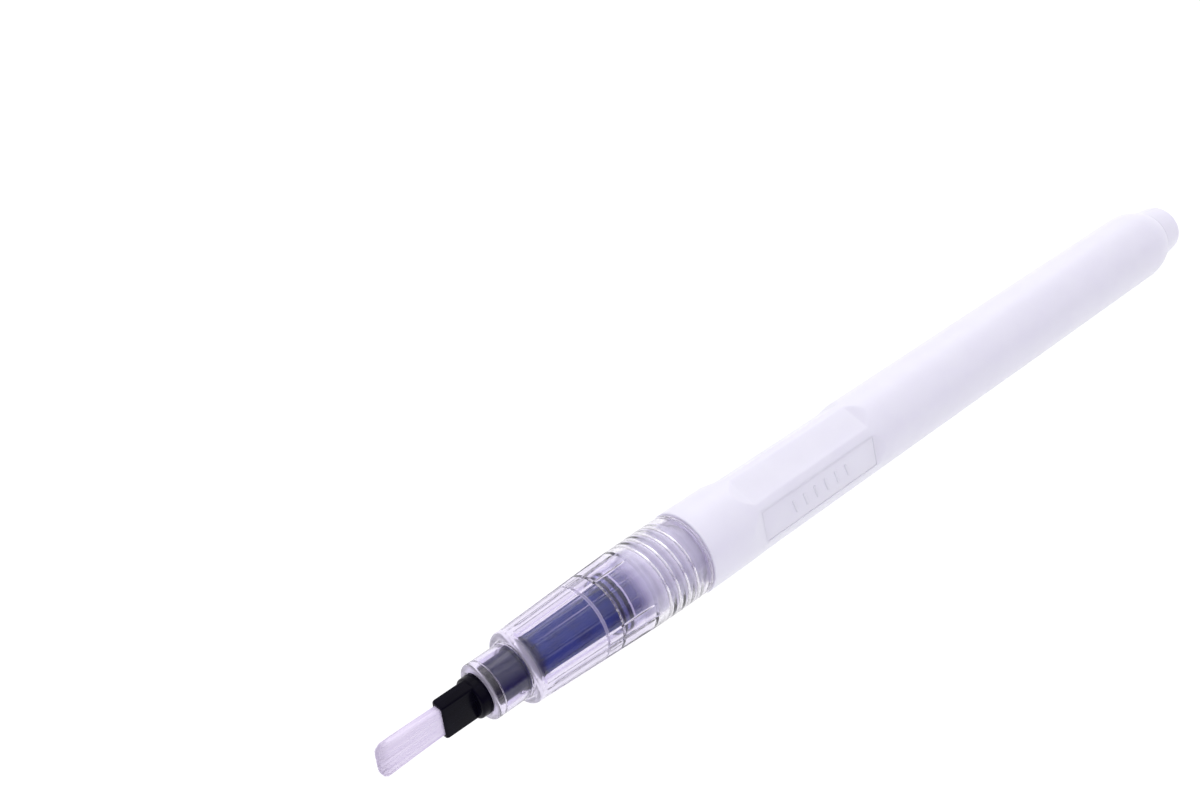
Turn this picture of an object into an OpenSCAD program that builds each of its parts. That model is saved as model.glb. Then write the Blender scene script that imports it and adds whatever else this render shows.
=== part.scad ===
// Squeeze water brush pen with a flat tip, lying on its side.
// The pen runs along X: bristle tip towards -X, end of the barrel towards +X, +Z up.
// Lengths along the pen are measured from the bristle tip. Millimetres.

/* [Barrel] */
// Length of the whole pen, bristle tip to end plug
pen_len = 155; // [150:1:165]
// Radius of the squeeze barrel along its main length
barrel_r = 5.45; // [5.3:0.05:5.6]
// Radius of the band behind the grip section
band_r = 5.55; // [5.4:0.05:5.7]
// Radius of the water space inside the barrel
bore_r = 4.6; // [4.4:0.05:4.7]
// Where the barrel's shoulder meets the gasket
shoulder_x = 45.45; // [45.4:0.05:45.6]
// Length of the rounded tail, end plug included
tail_len = 9; // [8:0.5:12]

/* [Neck] */
// Radius of the threaded neck under its thread
neck_r = 3.75; // [3.7:0.05:3.8]
// Radius of the hole through the neck
neck_bore_r = 2.95; // [2.9:0.05:3]
// Front end of the neck
neck_x = 31.7; // [31.6:0.1:31.9]
// Crest radius of the neck's thread
crest_r = 4.4; // [4.3:0.05:4.4]
// Distance between thread turns
pitch = 1.5; // [1.4:0.1:1.6]
// Turns of thread on the neck and in the grip section
turns = 4.1; // [3.5:0.1:4.1]

/* [Squeeze flats] */
// Start of the flats
flat_start = 54.7; // [54:0.1:56]
// End of the flats
flat_end = 76.3; // [74:0.1:78]
// Length of the ramp at each end of a flat
ramp_len = 2; // [1.5:0.1:2.5]
// Distance from the axis to a flat
flat_r = 4.98; // [4.9:0.02:5.1]
// Distance from the axis to the shallow flat under the pen
shallow_r = 5.37; // [5.3:0.01:5.4]
// Turn about the axis of the first press flat, from straight up towards the front
first_flat = 71; // [60:1:80]
// Thickness of a press panel
panel_t = 0.75; // [0.6:0.05:0.8]
// Half of a press panel's width
panel_half_w = 2.05; // [1.9:0.05:2.05]
// Gap all round a press panel
panel_gap = 0.05; // [0.03:0.01:0.08]
// Number of raised bars on a press panel
bar_count = 6; // [3:1:7]

/* [Grip section] */
// Front face of the nose
nose_x = 13.7; // [13.5:0.1:14]
// Radius of the nose, which the cap grips
nose_r = 3.45; // [3.4:0.05:3.5]
// Front face of the shoulder behind the nose
grip_x = 18.6; // [18.4:0.1:18.8]
// Radius at the front of the grip cone
grip_front_r = 4.53; // [4.4:0.01:4.6]
// Radius at the back of the fluted grip cone
grip_back_r = 5.32; // [5.2:0.01:5.35]
// Radius of the rim that meets the barrel
rim_r = 5.43; // [5.4:0.01:5.45]
// Where the flutes end and the thread starts
flute_end = 36.3; // [36:0.1:36.5]
// Number of flutes round the grip
flute_count = 16; // [8:2:20]
// Depth of a flute
flute_depth = 0.14; // [0.05:0.01:0.2]

/* [Brush head] */
// Mouth of the ferrule
mouth_x = 8.2; // [8:0.1:8.5]
// Width of the ferrule's flat mouth
mouth_w = 4.7; // [4.6:0.05:4.7]
// Thickness of the ferrule's flat mouth
mouth_t = 1.9; // [1.8:0.05:2]
// Radius of the ferrule's round collar
collar_r = 2.5; // [2.45:0.05:2.5]
// Width of the bristles where they leave the ferrule
tuft_w = 3.6; // [3.4:0.05:3.7]
// Thickness of the bristles where they leave the ferrule
tuft_t = 1.2; // [1:0.05:1.3]
// Width of the bristles at their tip
tip_w = 4.3; // [4:0.05:4.5]
// Turn of the flat brush about the pen's axis
brush_turn = -7; // [-15:1:15]

/* [Feed] */
// Radius of the feed tube
feed_r = 2.5; // [2.4:0.05:2.5]
// Radius of the feed's collar, which sits in the grip section
feed_collar_r = 2.92; // [2.8:0.02:2.92]
// Radius of the feed in front of its collar, in the nose
feed_front_r = 2.5; // [2.1:0.05:2.6]
// Back end of the feed tube
feed_end = 43.3; // [43:0.1:43.4]
// Radius of the hole that holds the fibre wick
wick_r = 0.9; // [0.8:0.05:0.95]
// Number of capillary grooves along the feed tube
groove_count = 10; // [6:1:12]

/* [Hidden] */

$fn = 96;
eps = 0.01;

rim_x = 45.2;             // back face of the grip section
band_end = 52;            // where the band blends into the barrel
band_blend = 6;           // length of that blend
tail_x = pen_len - tail_len;
tail_end = pen_len - 4.7; // where the barrel ends round the end plug
tail_round_r = 3.2;       // centre of the tail's elliptical rounding
tail_sweep = 61;          // angle of that rounding
plug_r = 3.7;             // hole in the barrel's end, filled by the plug
plug_hold = 3.1;          // length of that hole
plug_lead = 1.7;          // taper from the hole to the water space
boss_r = 4.3;             // end plug outside the barrel
boss_end_r = 3.75;        // end plug at its back face
boss_edge = 0.6;          // rounding of the back face's edge
cup_r = 2.6;              // hollow inside the plug
cup_floor = 1.5;          // wall between the hollow and the back face
throat_x = 47.4;          // back end of the neck's narrow hole
throat_taper = 2.1;       // taper from that hole to the water space
neck_flange = 0.1;        // how far the flange and gasket stand out of the neck
seal_step_x = 33.3;       // face that the neck seal sits against
spigot_r = 3.35;          // front of the neck, inside the seal
seal_r = 3.7;             // neck seal's body
seal_lip_r = 3.88;
seal_groove_r = 3.66;     // between the two lips
felt_t = 0.6;
stopper_x = 44.7;         // front of the neck stopper
pinhole_r = 0.35;
funnel_x = 45.9;          // where the pinhole opens into a funnel
funnel_r = 2.2;
rim_edge = 0.12;          // edge break on both faces of the joint
bar_w = 0.5;              // raised bar on a press panel
bar_len = 2.2;
bar_step = 2;
bar_proud = 0.12;
panel_end = 0.2;          // from the end of a flat to its press panel
flat_round = 0.25;        // edge rounding of the bristle bundle
thread_x = 37.1;          // first turn of the thread on the neck
ridge_w = 0.62;           // thread ridge width at its root
ridge_top_w = 0.34;       // thread ridge width at its crest
ridge_root = 0.12;        // how far a ridge is sunk in its wall
thread_bore_r = 4.5;      // grip section inside, round the thread
thread_bore_x = 36.6;     // front end of that bore
lead_in_r = 4.1;          // taper from the seal bore to the thread bore
lead_in_x = 34.6;
ridge_in_r = 3.98;        // crest radius of the grip section's own thread
facets_per_turn = 20;
seal_bore_r = 3.98;       // grip section inside, round the seal
seal_bore_x = 31.6;
room_r = [3.1, 3.3, 3.5, 3.55];       // round the feed tube, from front to back
room_x = [20.3, 29.2, 29.4, 31.4];
nose_edge = 0.3;          // chamfer on the nose
nose_root = 0.2;          // fillet between nose and shoulder
shoulder_round = 0.9;
rim_start = 41.9;         // front end of the straight rim
flute_r = 0.42;           // radius of the cutter that makes a flute
seat_x = 20;              // back end of the feed collar's seat in the nose
feed_collar_x = 18.6;     // front face of that collar
collar_front = 12.3;      // front face of the ferrule's collar
collar_edge = 0.3;
mouth_edge = 0.3;         // rounding of the flat mouth
mouth_bevel = 0.15;       // step-in at the mouth's front face
collar_back = 15;         // back face of the ferrule's collar
stem_end = 21.5;          // back end of the ferrule's stem
stem_r = 1.9;
pocket_end = 14.4;        // bottom of the pocket that holds the bristles
bond_x = 13.4;            // front of the melted root of the bristles
plug_seat = 40.8;         // front end of the flow plug in the feed tube
plug_stem_r = 1.3;
plug_flange_r = 2.2;
plug_flange_t = 0.5;
plug_hole_r = 0.3;
slot_x = 20.6;            // front end of the capillary grooves
slot_w = 0.3;
slot_d = 0.45;
shade_milky = [0.90, 0.89, 0.95];
shade_clear = [0.72, 0.70, 0.82, 0.6];
shade_dark = [0.05, 0.05, 0.09];
shade_navy = [0.14, 0.17, 0.36];

// Points of an arc, from angle a to angle b, about (cx, cy), as an ellipse rx by ry
function arc(cx, cy, rx, ry, a, b, n) =
    [for (i = [0 : n]) [cx + rx * cos(a + (b - a) * i / n), cy + ry * sin(a + (b - a) * i / n)]];

// Sets a shape whose axis is Z onto the pen: Z becomes the pen's length, on the table
module on_pen() {
    translate([-pen_len / 2, 0, band_r]) rotate([0, 90, 0]) children();
}

// The same for a shape that is already drawn along X
module along_pen() {
    translate([-pen_len / 2, 0, band_r]) children();
}

// Ring or tube between two stations, with an outer and an inner radius
module tube(x0, x1, r_out, r_in) {
    rotate_extrude() translate([r_in, x0]) square([r_out - r_in, x1 - x0]);
}

// Right-handed thread ridge about Z, from radius r_root to r_crest
module thread_ridge(x0, r_root, r_crest, turn_count) {
    steps = round(turn_count * facets_per_turn);
    section = [[r_root, -ridge_w / 2], [r_crest, -ridge_top_w / 2],
               [r_crest, ridge_top_w / 2], [r_root, ridge_w / 2]];
    points = [for (i = [0 : steps]) for (p = section)
              let (a = 360 * i / facets_per_turn)
              [p[0] * cos(a), p[0] * sin(a), x0 + pitch * i / facets_per_turn + p[1]]];
    sides = [for (i = [0 : steps - 1]) for (k = [0 : 3])
             let (k2 = (k + 1) % 4, b = 4 * i, t = 4 * (i + 1))
             each [[b + k, b + k2, t + k], [b + k2, t + k2, t + k]]];
    last = 4 * steps;
    ends = [[3, 2, 1, 0], [last, last + 1, last + 2, last + 3]];
    inwards = r_crest < r_root;
    faces = concat(sides, ends);
    polyhedron(points, inwards ? [for (f = faces) [for (j = [len(f) - 1 : -1 : 0]) f[j]]] : faces);
}

// One squeeze flat's cutter, above +Z, at the given distance from the axis
module flat_cutter(r) {
    rotate([90, 0, 0])
        linear_extrude(height = 3 * barrel_r, center = true)
            polygon([[flat_start - ramp_len, band_r], [flat_start, r], [flat_end, r],
                     [flat_end + ramp_len, band_r], [flat_end + ramp_len, 2 * barrel_r],
                     [flat_start - ramp_len, 2 * barrel_r]]);
}

// Places a thing at squeeze flat number i
module at_flat(i) {
    rotate([first_flat - 60 * i, 0, 0]) children();
}

module barrel_shell() {
    rotate_extrude() polygon(concat(
        [[neck_bore_r, neck_x], [spigot_r, neck_x], [spigot_r, seal_step_x],
         [neck_r + neck_flange, seal_step_x], [neck_r + neck_flange, seal_step_x + 0.4],
         [neck_r, seal_step_x + 0.6], [neck_r, shoulder_x], [band_r - rim_edge, shoulder_x],
         [band_r, shoulder_x + rim_edge], [band_r, band_end], [barrel_r, band_end + band_blend]],
        arc(tail_round_r, tail_x, barrel_r - tail_round_r,
            (tail_end - tail_x) / sin(tail_sweep), 0, tail_sweep, 8),
        [[plug_r, tail_end], [plug_r, tail_end - plug_hold],
         [bore_r, tail_end - plug_hold - plug_lead],
         [bore_r, throat_x + throat_taper], [neck_bore_r, throat_x]]));
}

module barrel() {
    color(shade_milky) difference() {
        union() {
            on_pen() barrel_shell();
            on_pen() thread_ridge(thread_x, neck_r - ridge_root, crest_r, turns);
        }
        along_pen() for (i = [0 : 4]) at_flat(i) flat_cutter(flat_r);
        along_pen() at_flat(5) flat_cutter(shallow_r);
        along_pen() for (i = [0, 3]) at_flat(i)
            translate([flat_start + panel_end - panel_gap, -panel_half_w - panel_gap, bore_r / 2])
                cube([flat_end - flat_start - 2 * (panel_end - panel_gap),
                      2 * (panel_half_w + panel_gap), barrel_r]);
    }
}

// Plug that closes the barrel's end: a spigot with a hollow, and a tapered boss outside
module end_plug() {
    front = tail_end - plug_hold - 0.2;
    color(shade_milky) on_pen() rotate_extrude() polygon(concat(
        [[0, pen_len - cup_floor + 0.2], [cup_r, pen_len - cup_floor], [cup_r, front],
         [plug_r - 0.5, front], [plug_r, front + 0.5], [plug_r, tail_end], [boss_r, tail_end]],
        arc(boss_end_r - boss_edge, pen_len - boss_edge, boss_edge, boss_edge, 8, 90, 5),
        [[0, pen_len]]));
}

// Twin-lip seal on the front of the neck
module neck_seal() {
    x0 = seal_step_x - 1.5;
    lip_w = 0.15;
    color(shade_dark) on_pen() rotate_extrude() polygon([
        [spigot_r, x0], [seal_r, x0], [seal_lip_r, x0 + lip_w], [seal_lip_r, x0 + 2 * lip_w],
        [seal_groove_r, x0 + 0.5], [seal_groove_r, seal_step_x - 0.6],
        [seal_lip_r, seal_step_x - 0.2 - lip_w], [seal_lip_r, seal_step_x - lip_w],
        [seal_r, seal_step_x], [spigot_r, seal_step_x]]);
}

// Stopper pressed in the neck, with the pinhole that meters the water
module neck_stopper() {
    color(shade_milky) on_pen() difference() {
        tube(stopper_x, throat_x - 0.2, neck_bore_r, pinhole_r);
        translate([0, 0, funnel_x])
            cylinder(h = throat_x - funnel_x + 0.5, r1 = pinhole_r, r2 = funnel_r);
    }
}

module felt_pad() {
    color("whitesmoke") on_pen() translate([0, 0, stopper_x - felt_t - 0.05])
        cylinder(h = felt_t, r = neck_bore_r - 0.1);
}

module rim_gasket() {
    color(shade_clear) on_pen() tube(rim_x, shoulder_x, rim_r - rim_edge, neck_r + neck_flange);
}

// Press panel: the thin wall of one flat, with raised bars where the finger goes
module press_panel() {
    x0 = flat_start + panel_end;
    x1 = flat_end - panel_end;
    sunk = 0.2;
    translate([x0, -panel_half_w, flat_r - panel_t])
        cube([x1 - x0, 2 * panel_half_w, panel_t]);
    for (i = [0 : bar_count - 1])
        translate([(x0 + x1) / 2 + (i - (bar_count - 1) / 2) * bar_step - bar_w / 2,
                   -bar_len / 2, flat_r - sunk])
            cube([bar_w, bar_len, sunk + bar_proud]);
}

module press_panel_front() {
    color(shade_milky) along_pen() at_flat(0) press_panel();
}

module press_panel_back() {
    color(shade_milky) along_pen() at_flat(3) press_panel();
}

module grip_shell() {
    rotate_extrude() polygon(concat(
        [[collar_r, nose_x], [nose_r - nose_edge, nose_x], [nose_r, nose_x + nose_edge],
         [nose_r, grip_x - nose_root], [nose_r + nose_root, grip_x]],
        arc(grip_front_r - shoulder_round, grip_x + shoulder_round, shoulder_round,
            shoulder_round, -78, 0, 6),
        [[grip_front_r + 0.04, grip_x + 1.6], [grip_back_r, flute_end], [rim_r, rim_start],
         [rim_r, rim_x - rim_edge], [rim_r - rim_edge, rim_x],
         [thread_bore_r, rim_x], [thread_bore_r, thread_bore_x],
         [lead_in_r, thread_bore_x - 0.3], [seal_bore_r, lead_in_x], [seal_bore_r, seal_bore_x]],
        [for (i = [3 : -1 : 0]) [room_r[i], room_x[i]]],
        [[feed_collar_r, seat_x], [feed_collar_r, collar_back], [collar_r, collar_back]]));
}

module grip_flutes() {
    lean = atan((grip_back_r - grip_front_r) / (flute_end - grip_x - shoulder_round));
    for (i = [0 : flute_count - 1])
        rotate([0, 0, (i + 0.5) * 360 / flute_count])
            translate([grip_front_r + flute_r - flute_depth + 0.02, 0, grip_x + 1.7])
                rotate([0, lean, 0])
                    cylinder(h = flute_end - grip_x - 1.9, r = flute_r, $fn = 16);
}

module grip_section() {
    color(shade_clear) on_pen() difference() {
        union() {
            grip_shell();
            thread_ridge(thread_x + pitch / 2, thread_bore_r + ridge_root, ridge_in_r, turns);
        }
        grip_flutes();
    }
}

// Flat plate with rounded long edges, across the pen, from x0 to x1
module flat_bar(x0, x1, w, t, edge) {
    translate([x0, 0, 0]) rotate([90, 0, 90]) linear_extrude(height = x1 - x0) {
        square([t, w - 2 * edge], center = true);
        square([t - 2 * edge, w], center = true);
        for (sy = [-1, 1]) for (sz = [-1, 1])
            translate([sy * (t / 2 - edge), sz * (w / 2 - edge)]) circle(r = edge, $fn = 24);
    }
}

module ferrule() {
    color(shade_dark) along_pen() rotate([brush_turn, 0, 0]) difference() {
        union() {
            flat_bar(mouth_x + mouth_bevel, collar_back, mouth_w, mouth_t, mouth_edge);
            flat_bar(mouth_x, mouth_x + 2 * mouth_bevel, mouth_w - 2 * mouth_bevel,
                     mouth_t - 2 * mouth_bevel, 0.2);
            rotate([0, 90, 0]) rotate_extrude() polygon([
                [0, collar_front], [collar_r - collar_edge, collar_front],
                [collar_r, collar_front + collar_edge], [collar_r, collar_back],
                [stem_r, collar_back], [stem_r, stem_end], [0, stem_end]]);
        }
        flat_bar(mouth_x - 1, pocket_end, tuft_w, tuft_t, flat_round);
        translate([pocket_end - eps, 0, 0]) rotate([0, 90, 0]) cylinder(h = 10, r = wick_r);
    }
}

module tuft() {
    color("lavender") along_pen() rotate([brush_turn, 0, 0]) {
        flat_bar(mouth_x, bond_x, tuft_w, tuft_t, flat_round);
        hull() {
            flat_bar(mouth_x - 0.1, mouth_x, tuft_w, tuft_t, flat_round);
            flat_bar(0.9, 1.2, tip_w, tuft_t * 0.8, flat_round);
            flat_bar(0, 0.1, tip_w - 1.5, tuft_t * 0.5, flat_round / 2);
        }
    }
}

// Melted root that ties the bristles together in the ferrule
module tuft_bond() {
    color("white") along_pen() rotate([brush_turn, 0, 0])
        flat_bar(bond_x, pocket_end, tuft_w, tuft_t, flat_round);
}

module feed_tube() {
    color(shade_navy) on_pen() difference() {
        rotate_extrude() polygon([
            [stem_r, collar_back], [feed_front_r, collar_back], [feed_front_r, feed_collar_x],
            [feed_collar_r, feed_collar_x], [feed_collar_r, seat_x - 0.1],
            [feed_r, seat_x + 0.3], [feed_r, feed_end], [plug_stem_r, feed_end],
            [plug_stem_r, plug_seat], [wick_r, plug_seat], [wick_r, stem_end],
            [stem_r, stem_end]]);
        for (i = [0 : groove_count - 1])
            rotate([0, 0, i * 360 / groove_count])
                translate([feed_r - slot_d, -slot_w / 2, slot_x])
                    cube([1, slot_w, feed_end - slot_x + 1]);
    }
}

module fibre_wick() {
    color("white") on_pen() translate([0, 0, pocket_end])
        cylinder(h = plug_seat - pocket_end, r = wick_r);
}

module flow_plug() {
    color("white") on_pen() difference() {
        union() {
            translate([0, 0, plug_seat]) cylinder(h = feed_end - plug_seat, r = plug_stem_r);
            translate([0, 0, feed_end]) cylinder(h = plug_flange_t, r = plug_flange_r);
        }
        translate([0, 0, plug_seat - 1]) cylinder(h = 5, r = plug_hole_r);
    }
}

barrel();
end_plug();
neck_seal();
neck_stopper();
felt_pad();
rim_gasket();
press_panel_front();
press_panel_back();
grip_section();
ferrule();
tuft();
tuft_bond();
feed_tube();
fibre_wick();
flow_plug();
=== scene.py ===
import math

import bmesh
import bpy
from mathutils import Matrix, Vector


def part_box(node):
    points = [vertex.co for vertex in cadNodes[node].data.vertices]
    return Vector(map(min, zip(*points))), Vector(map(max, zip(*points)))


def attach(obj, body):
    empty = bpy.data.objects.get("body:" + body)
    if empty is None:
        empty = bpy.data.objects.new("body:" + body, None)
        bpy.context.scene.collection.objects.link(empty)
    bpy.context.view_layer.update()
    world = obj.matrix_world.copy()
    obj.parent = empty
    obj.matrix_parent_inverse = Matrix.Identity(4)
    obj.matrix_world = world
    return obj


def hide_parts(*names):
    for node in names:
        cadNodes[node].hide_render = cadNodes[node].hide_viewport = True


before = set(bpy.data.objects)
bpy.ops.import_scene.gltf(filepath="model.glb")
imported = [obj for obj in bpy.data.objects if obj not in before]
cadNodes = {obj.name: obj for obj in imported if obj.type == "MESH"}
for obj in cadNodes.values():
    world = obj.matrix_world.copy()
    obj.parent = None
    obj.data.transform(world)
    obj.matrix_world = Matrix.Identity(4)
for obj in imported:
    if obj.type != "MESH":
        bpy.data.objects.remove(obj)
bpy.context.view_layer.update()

mm = 0.001
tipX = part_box("tuft")[0].x                                # bristle tip, where every length is measured from
axisZ = (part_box("end_plug")[0].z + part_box("end_plug")[1].z) / 2
axisPoint = Vector((0, 0, axisZ))
noseX = (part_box("grip_section")[0].x - tipX) / mm         # these lengths are millimetres from the tip
rimX = (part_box("grip_section")[1].x - tipX) / mm
shoulderX = (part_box("rim_gasket")[1].x - tipX) / mm
neckX = (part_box("barrel")[0].x - tipX) / mm
tailX = (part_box("barrel")[1].x - tipX) / mm
endX = (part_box("end_plug")[1].x - tipX) / mm
mouthX = (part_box("ferrule")[0].x - tipX) / mm
stemEndX = 21.4                                           # back end of the ferrule's stem


# --- nodes written as expressions, for materials and geometry alike

class Wire:
    def __init__(self, tree, node, output):
        self.tree = tree
        self.node = node
        self.output = output

    def out(self, key):
        return Wire(self.tree, self.node, self.node.outputs[key])

    def __add__(self, other):
        return self.tree.math("ADD", self, other)

    def __radd__(self, other):
        return self.tree.math("ADD", other, self)

    def __sub__(self, other):
        return self.tree.math("SUBTRACT", self, other)

    def __rsub__(self, other):
        return self.tree.math("SUBTRACT", other, self)

    def __mul__(self, other):
        return self.tree.math("MULTIPLY", self, other)

    def __rmul__(self, other):
        return self.tree.math("MULTIPLY", other, self)

    def __truediv__(self, other):
        return self.tree.math("DIVIDE", self, other)


class Nodes:
    def __init__(self, nodeTree):
        self.nodeTree = nodeTree

    def node(self, kind, settings=None, sockets=None):
        made = self.nodeTree.nodes.new(kind)
        for name, value in (settings or {}).items():
            if name == "stops":
                self.setStops(made.color_ramp, value)
            else:
                setattr(made, name, value)
        for key, value in (sockets or {}).items():
            self.put(made.inputs[key], value)
        return Wire(self, made, made.outputs[0] if made.outputs else None)

    def put(self, socket, value):
        if isinstance(value, Wire):
            self.nodeTree.links.new(value.output, socket)
        else:
            socket.default_value = value

    def setStops(self, ramp, stops):
        while len(ramp.elements) < len(stops):
            ramp.elements.new(0.5)
        for element, (position, colour) in zip(ramp.elements, stops):
            element.position = position
            element.color = colour

    def math(self, operation, a, b=0.0):
        return self.node("ShaderNodeMath", {"operation": operation}, {0: a, 1: b})

    def spread(self, value, low, high, toLow=0.0, toHigh=1.0, smooth=True):
        style = {"interpolation_type": "SMOOTHSTEP" if smooth else "LINEAR"}
        sockets = {0: value, 1: low, 2: high, 3: toLow, 4: toHigh}
        return self.node("ShaderNodeMapRange", style, sockets)

    def mixColour(self, factor, first, second, style="MIX"):
        settings = {"data_type": "RGBA", "blend_type": style}
        return self.node("ShaderNodeMix", settings, {0: factor, 6: first, 7: second}).out(2)


# --- materials

def newMaterial(name):
    material = bpy.data.materials.new(name)
    material.use_nodes = True
    material.node_tree.nodes.clear()
    return material, Nodes(material.node_tree)


def finishMaterial(nodes, shader):
    nodes.node("ShaderNodeOutputMaterial", None, {0: shader})


def grain(nodes, scale, stretch=(1, 1, 1), detail=3):
    spot = nodes.node("ShaderNodeTexCoord").out("Object")
    mapped = nodes.node("ShaderNodeMapping", None, {"Vector": spot, "Scale": stretch})
    sockets = {"Vector": mapped, "Scale": scale, "Detail": detail}
    return nodes.node("ShaderNodeTexNoise", {"noise_dimensions": "3D"}, sockets)


def bump(nodes, height, distance, strength=1.0):
    sockets = {"Strength": strength, "Distance": distance, "Height": height}
    return nodes.node("ShaderNodeBump", None, sockets)


def penPlace(nodes):
    # millimetres from the tip and from the axis, for patterns that follow the pen
    spot = nodes.node("ShaderNodeSeparateXYZ", None, {0: nodes.node("ShaderNodeTexCoord").out("Object")})
    side, up = spot.out(1), spot.out(2) - axisZ
    radius = nodes.math("SQRT", side * side + up * up) / mm
    return (spot.out(0) - tipX) / mm, radius


milkyLook = {"colour": (0.885, 0.885, 0.95, 1), "cloud": (0.87, 0.867, 0.938, 1), "roughness": 0.34,
             "glow": 0.25, "depth": 1.0 * mm, "letThrough": 0.12,
             "spigotClear": 0.92, "wallClear": 0.35, "ridgeClear": 0.1, "flangeClear": 0.0}
# where the neck changes, in millimetres from the tip or from the axis
neckMarks = {"wall": (34.5, 37.0), "ridge": (3.8, 4.25), "flangeRadius": 3.77, "flangeEnd": 33.5}
clearLook = {"colour": (0.80, 0.755, 0.90, 1), "haze": (0.765, 0.715, 0.875, 1), "roughness": 0.07,
             "innerRoughness": 0.1, "satin": (0.86, 0.82, 0.94, 1), "satinAmount": 0.5, "gloss": 0.14,
             "threadColour": (0.92, 0.90, 0.96, 1), "lampTint": (0.93, 0.91, 0.97, 1)}
# where the clear section's skin changes, in millimetres from the tip or from the axis
skinMarks = {"between": (19.0, 41.0, 4.3, 5.15), "innerStart": 20.5, "threadRough": (35.5, 37.0),
             "threadPale": (34.8, 36.6), "noseFace": 0.35, "shoulderFace": (18.55, 18.6, 18.7, 19.7),
             "shoulderRadius": (3.5, 3.8), "rimFace": (0.25, 0.05), "stepFace": (29.0, 29.2, 29.4, 29.6),
             "stepRadius": 3.7}
blackLook = {"colour": (0.0012, 0.0008, 0.004, 1), "worn": (0.003, 0.0025, 0.008, 1), "roughness": 0.26}
navyLook = {"colour": (0.009, 0.032, 0.240, 1), "deep": (0.004, 0.014, 0.120, 1), "roughness": 0.36,
            # the last colour is a darker navy painted on the tube's front as shade
            "paintedShade": (0.001, 0.002, 0.055, 1)}
nylonLook = {"colour": (0.86, 0.81, 0.905, 1), "shade": (0.70, 0.64, 0.80, 1), "roughness": 0.45,
             "shadeFrom": 3}


def milkyPlastic(name, seeThrough=False):
    material, nodes = newMaterial(name)
    clouds = grain(nodes, 260)
    flow = grain(nodes, 700, stretch=(0.06, 1, 1))
    peel = grain(nodes, 5200, detail=2)
    colour = nodes.mixColour(nodes.spread(clouds, 0.35, 0.7), milkyLook["colour"], milkyLook["cloud"])
    roughness = milkyLook["roughness"] + (flow - 0.5) * 0.12
    height = peel * 0.35 + flow * 0.65
    shader = nodes.node("ShaderNodeBsdfPrincipled", {"subsurface_method": "RANDOM_WALK"}, {
        "Base Color": colour, "Roughness": roughness, "IOR": 1.5,
        "Subsurface Weight": milkyLook["glow"], "Subsurface Radius": (1.0, 0.95, 1.1),
        "Subsurface Scale": milkyLook["depth"], "Transmission Weight": milkyLook["letThrough"],
        "Normal": bump(nodes, height, 0.012 * mm, 0.5)})
    if seeThrough:
        # the neck's thin wall is clearer than the thread that stands on it
        along, radius = penPlace(nodes)
        wall = nodes.spread(along, *neckMarks["wall"], milkyLook["spigotClear"], milkyLook["wallClear"])
        ridge = nodes.spread(radius, *neckMarks["ridge"])
        clearness = wall * (1 - ridge) + ridge * milkyLook["ridgeClear"]
        flange = (nodes.math("GREATER_THAN", radius, neckMarks["flangeRadius"])
                  * nodes.math("LESS_THAN", along, neckMarks["flangeEnd"]))
        clearness = clearness * (1 - flange) + flange * milkyLook["flangeClear"]
        clear = nodes.node("ShaderNodeBsdfTransparent", None, {"Color": (0.90, 0.90, 0.97, 1)})
        shader = nodes.node("ShaderNodeMixShader", None, {0: clearness, 1: shader, 2: clear})
    finishMaterial(nodes, shader)
    return material


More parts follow.
